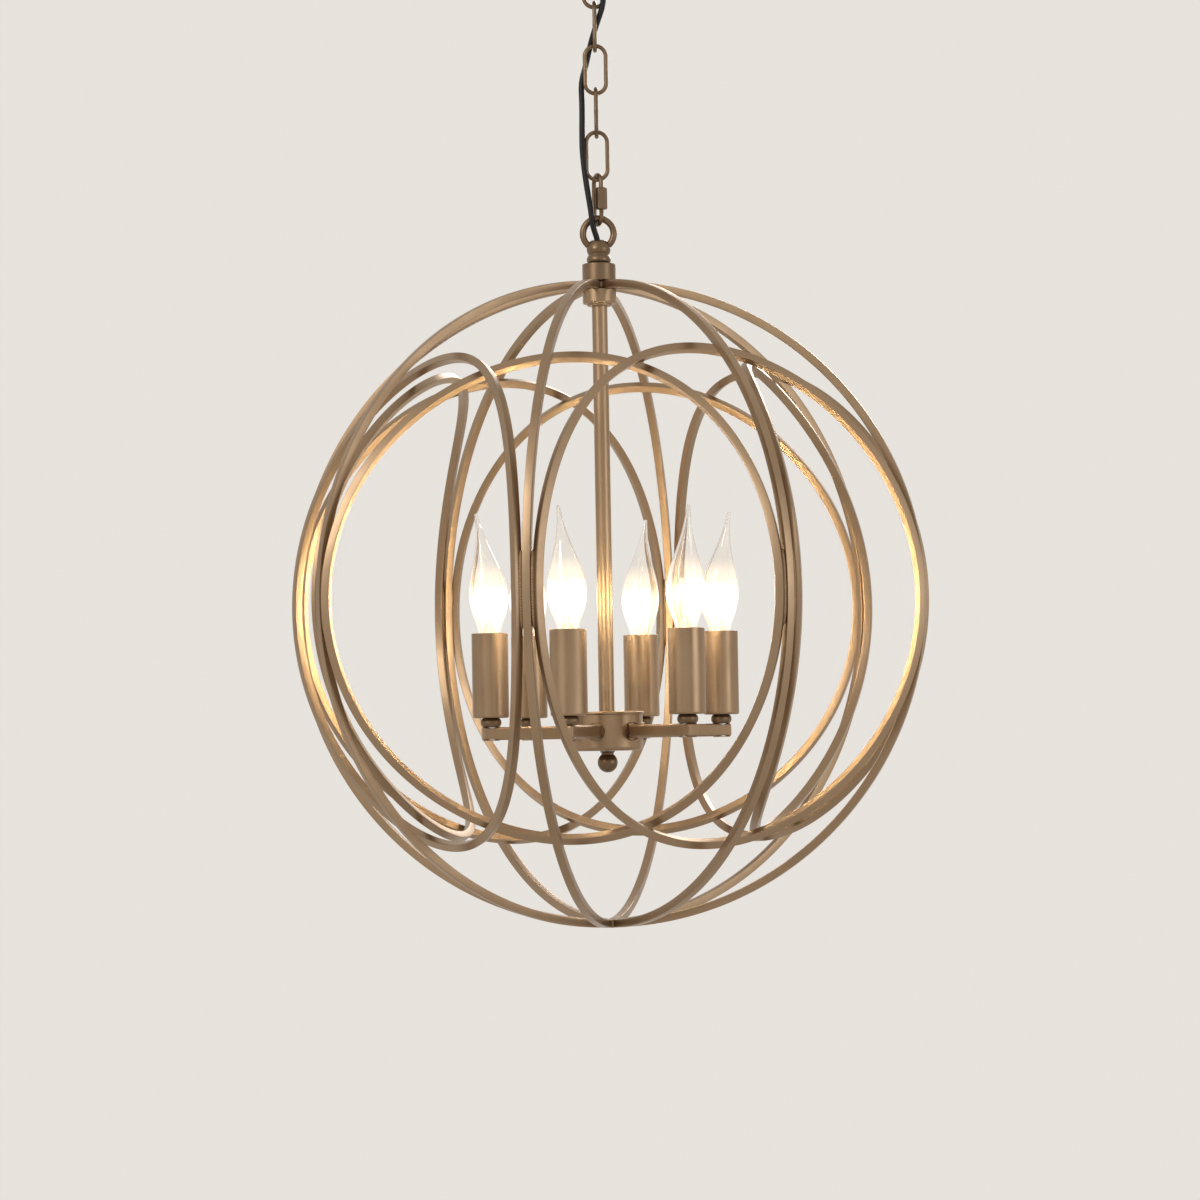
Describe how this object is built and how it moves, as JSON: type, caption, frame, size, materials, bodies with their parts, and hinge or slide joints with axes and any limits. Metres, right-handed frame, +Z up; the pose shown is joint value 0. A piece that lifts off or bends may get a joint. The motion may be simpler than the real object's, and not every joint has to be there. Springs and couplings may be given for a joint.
{
  "type": "orb chandelier",
  "caption": "Open ball of square metal bar with crossed hoops, hung by a chain from a ceiling canopy, holding a drum with arms, candle cups and flame-tip bulbs.",
  "frame": {"origin": "on the ceiling, middle of the mounting bracket's upper face", "axes": "+Z up, -Y into the room as pictured, +X to the picture's right"},
  "size_m": [0.4936, 0.4936, 0.8062],
  "materials": {
    "painted_frame": "satin champagne bronze paint",
    "zinc_steel": "zinc plated",
    "phenolic": "moulded",
    "cord_jacket": "black flexible jacket",
    "lamp_glass": "clear glass with a nickel base"
  },
  "bodies": {
    "ceiling": {"mounting_bracket": "zinc_steel", "ceiling_nipple": "zinc_steel", "ceiling_loop": "painted_frame", "supply_cord": "cord_jacket"},
    "canopy": {"canopy": "painted_frame", "canopy_ring_nut": "painted_frame"},
    "chain_link_1": {"chain_link_1": "painted_frame"},
    "chain_link_2": {"chain_link_2": "painted_frame"},
    "chain_link_3": {"chain_link_3": "painted_frame"},
    "chain_link_4": {"chain_link_4": "painted_frame"},
    "chain_link_5": {"chain_link_5": "painted_frame"},
    "quick_link": {"quick_link": "painted_frame"},
    "sleeve": {"sleeve_nut": "painted_frame"},
    "fixture": {"hanging_loop": "painted_frame", "upper_collar": "painted_frame", "lower_collar": "painted_frame", "stem": "painted_frame", "rib_hubs": "painted_frame", "drum": "painted_frame", "drum_lid": "painted_frame", "finial": "painted_frame", "hub_rod": "zinc_steel", "cup_spacers": "painted_frame", "arm_tubes_and_nuts": "zinc_steel", "lamp_holders": "phenolic", "rib_1": "painted_frame", "rib_2": "painted_frame", "rib_3": "painted_frame", "rib_4": "painted_frame", "rib_5": "painted_frame", "rib_6": "painted_frame", "rib_7": "painted_frame", "rib_8": "painted_frame", "hoop_1": "painted_frame", "hoop_2": "painted_frame", "hoop_3": "painted_frame", "hoop_4": "painted_frame", "hoop_5": "painted_frame", "hoop_6": "painted_frame", "hoop_7": "painted_frame", "hoop_8": "painted_frame", "arm_1": "painted_frame", "arm_2": "painted_frame", "arm_3": "painted_frame", "arm_4": "painted_frame", "arm_5": "painted_frame", "arm_6": "painted_frame", "candle_cup_1": "painted_frame", "candle_cup_2": "painted_frame", "candle_cup_3": "painted_frame", "candle_cup_4": "painted_frame", "candle_cup_5": "painted_frame", "candle_cup_6": "painted_frame"},
    "bulb_1": {"bulb_1": "lamp_glass"},
    "bulb_2": {"bulb_2": "lamp_glass"},
    "bulb_3": {"bulb_3": "lamp_glass"},
    "bulb_4": {"bulb_4": "lamp_glass"},
    "bulb_5": {"bulb_5": "lamp_glass"},
    "bulb_6": {"bulb_6": "lamp_glass"}
  },
  "joints": [
    {"name": "canopy_drop", "type": "slide", "parent": "ceiling", "child": "canopy", "axis": [0, 0, -1], "range_m": [0, 0.02]},
    {"name": "chain_swing_1", "type": "hinge", "parent": "ceiling", "child": "chain_link_1", "pos_m": [0, 0, -0.05805], "axis": [0, 1, 0], "range_deg": [-40, 40], "deforming": ["supply_cord"]},
    {"name": "chain_swing_2", "type": "hinge", "parent": "chain_link_1", "child": "chain_link_2", "pos_m": [0, 0, -0.0912], "axis": [1, 0, 0], "range_deg": [-40, 40]},
    {"name": "chain_swing_3", "type": "hinge", "parent": "chain_link_2", "child": "chain_link_3", "pos_m": [0, 0, -0.125], "axis": [0, 1, 0], "range_deg": [-40, 40]},
    {"name": "chain_swing_4", "type": "hinge", "parent": "chain_link_3", "child": "chain_link_4", "pos_m": [0, 0, -0.1588], "axis": [1, 0, 0], "range_deg": [-40, 40]},
    {"name": "chain_swing_5", "type": "hinge", "parent": "chain_link_4", "child": "chain_link_5", "pos_m": [0, 0, -0.1926], "axis": [0, 1, 0], "range_deg": [-40, 40]},
    {"name": "quick_link_swing", "type": "hinge", "parent": "chain_link_5", "child": "quick_link", "pos_m": [0, 0, -0.2264], "axis": [1, 0, 0], "range_deg": [-40, 40]},
    {"name": "sleeve_unscrew", "type": "slide", "parent": "quick_link", "child": "sleeve", "axis": [0, 0, 1], "range_m": [0, 0.0039]},
    {"name": "fixture_swing", "type": "hinge", "parent": "quick_link", "child": "fixture", "pos_m": [0, 0, -0.26125], "axis": [0, 1, 0], "range_deg": [-25, 25]},
    {"name": "bulb_1_turn", "type": "hinge", "parent": "fixture", "child": "bulb_1", "pos_m": [-0.02812, -0.08655, -0.579], "axis": [0, 0, 1], "continuous": true},
    {"name": "bulb_2_turn", "type": "hinge", "parent": "fixture", "child": "bulb_2", "pos_m": [0.06089, -0.06763, -0.579], "axis": [0, 0, 1], "continuous": true},
    {"name": "bulb_3_turn", "type": "hinge", "parent": "fixture", "child": "bulb_3", "pos_m": [0.08901, 0.01892, -0.579], "axis": [0, 0, 1], "continuous": true},
    {"name": "bulb_4_turn", "type": "hinge", "parent": "fixture", "child": "bulb_4", "pos_m": [0.02812, 0.08655, -0.579], "axis": [0, 0, 1], "continuous": true},
    {"name": "bulb_5_turn", "type": "hinge", "parent": "fixture", "child": "bulb_5", "pos_m": [-0.06089, 0.06763, -0.579], "axis": [0, 0, 1], "continuous": true},
    {"name": "bulb_6_turn", "type": "hinge", "parent": "fixture", "child": "bulb_6", "pos_m": [-0.08901, -0.01892, -0.579], "axis": [0, 0, 1], "continuous": true}
  ]
}
